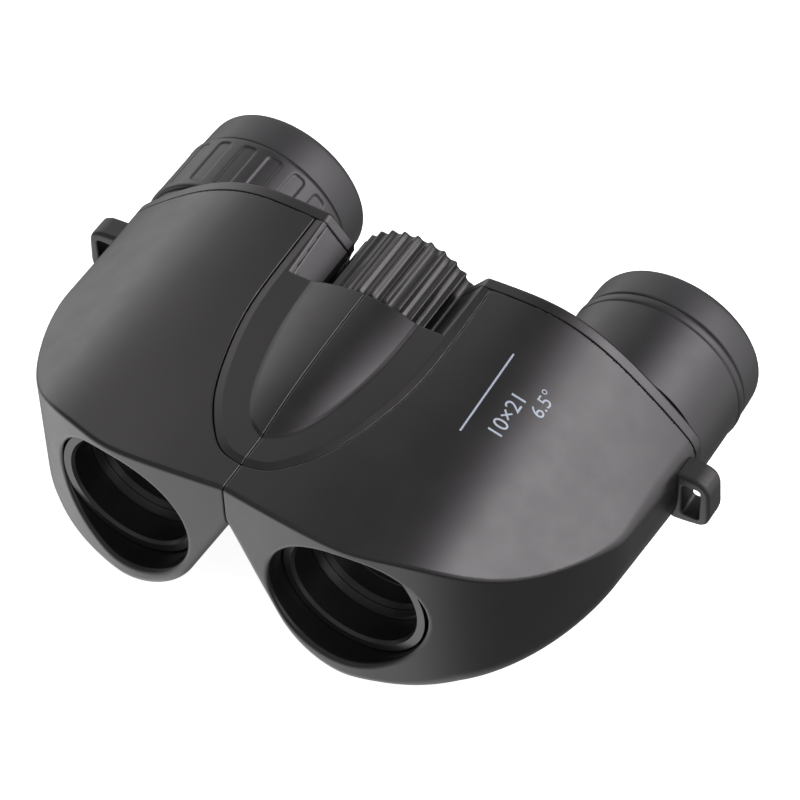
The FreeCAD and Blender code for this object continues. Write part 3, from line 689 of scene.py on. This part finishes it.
def figures(text, size):
    """Points and faces of flat figures, whose baseline starts at the origin."""
    curve = bpy.data.curves.new("figures", "FONT")
    curve.body = text
    curve.size = size
    holder = bpy.data.objects.new("figures", curve)
    bpy.context.scene.collection.objects.link(holder)
    flat = bpy.data.meshes.new_from_object(holder.evaluated_get(bpy.context.evaluated_depsgraph_get()))
    bpy.data.objects.remove(holder)
    return np.array([v.co for v in flat.vertices]), [tuple(p.vertices) for p in flat.polygons]


def lay_print(name, points, faces, x, y):
    """Print on the top skin, read from the side: its own origin comes to x, y and it runs to the rear."""
    px = x - points[:, 1]
    py = y + points[:, 0]
    points = np.stack([px, py, skin_height(px, py) + PRINT_RISE], axis=1)
    mesh = bpy.data.meshes.new(name)
    mesh.from_pydata(place(points).tolist(), [], faces)
    piece = bpy.data.objects.new(name, mesh)
    bpy.context.scene.collection.objects.link(piece)
    finish_piece(piece, PRINT, "left_half", "casing")


lay_print("print_power", *figures("10×21", 3.5), 31.0, 28.8)
lay_print("print_field", *figures("6.5°", 3.1), 34.2, 36.0)
rule_marks = np.linspace(0, RULE_LENGTH, RULE_MARKS)
rule_points = np.array([(t, w, 0) for t in rule_marks for w in (0.0, RULE_WIDTH)])
rule_faces = [(2 * i, 2 * i + 2, 2 * i + 3, 2 * i + 1) for i in range(RULE_MARKS - 1)]
lay_print("print_rule", rule_points, rule_faces, 25.5, 26.9)

# ---------------------------------------------------------------- floor and light
floor_mat = material("floor", (0.86, 0.86, 0.86), 0.7, tint=0.01, spread=0.02)
shader = floor_mat.node_tree.nodes["Principled BSDF"]
shader.inputs["Emission Color"].default_value = (1, 1, 1, 1)
shader.inputs["Emission Strength"].default_value = 0.9
bpy.ops.mesh.primitive_plane_add(size=FLOOR_SIZE, location=(0, 0, 0))
floor = bpy.context.object
floor.name = "floor"
floor.data.materials.append(floor_mat)
# The world's light stands for the floor in what the object reflects.
floor.visible_diffuse = False
floor.visible_glossy = False

# A soft studio drawn as the world's light: a key from above the rear, glows at both sides and
# in front below. Each is a direction, strength and width.
LOBES = [((0.42, 0.42, 0.80), 2.2, 0.05), ((0.62, 0.40, 0.67), 5.0, 0.045), ((0.75, 0.50, 0.43), 2.9, 0.05),
         ((0.84, 0.54, 0.08), 0.9, 0.06), ((0.84, 0.50, -0.22), 1.0, 0.08), ((0.95, -0.2, 0.2), 1.5, 0.1),
         ((-0.6, 0.5, 0.62), 1.0, 0.06), ((-0.9, 0.42, 0.1), 1.6, 0.09), ((-0.3, 0.9, 0.3), 0.5, 0.1),
         ((-0.45, -0.5, -0.74), 1.7, 0.3), ((0.0, -0.6, 0.8), 0.4, 0.3)]
world = bpy.data.worlds.new("studio")
bpy.context.scene.world = world
world.use_nodes = True
nodes, links = world.node_tree.nodes, world.node_tree.links
coords = nodes.new("ShaderNodeTexCoord")


def math_node(operation, *values):
    """The output of a maths node fed with numbers or with other nodes' outputs."""
    node = nodes.new("ShaderNodeMath")
    node.operation = operation
    for socket, value in zip(node.inputs, values):
        if isinstance(value, (int, float)):
            socket.default_value = value
        else:
            links.new(value, socket)
    return node.outputs["Value"]


total = None
for direction, strength, width in LOBES:
    dot = nodes.new("ShaderNodeVectorMath")
    dot.operation = "DOT_PRODUCT"
    links.new(coords.outputs["Generated"], dot.inputs[0])
    dot.inputs[1].default_value = Vector(direction).normalized()
    away = math_node("SUBTRACT", 1.0, dot.outputs["Value"])
    fall = math_node("POWER", math_node("DIVIDE", away, width), 2)
    lobe = math_node("MULTIPLY", math_node("EXPONENT", math_node("MULTIPLY", fall, -1.0)), strength)
    total = lobe if total is None else math_node("ADD", total, lobe)
total = math_node("ADD", total, 0.2)
seen = nodes.new("ShaderNodeLightPath")
backdrop = nodes.new("ShaderNodeMix")
links.new(seen.outputs["Is Camera Ray"], backdrop.inputs["Factor"])
links.new(total, backdrop.inputs["A"])
backdrop.inputs["B"].default_value = 0.95
links.new(backdrop.outputs["Result"], nodes["Background"].inputs["Strength"])
nodes["Background"].inputs["Color"].default_value = (1, 1, 1, 1)

bpy.context.scene.view_settings.view_transform = "Standard"
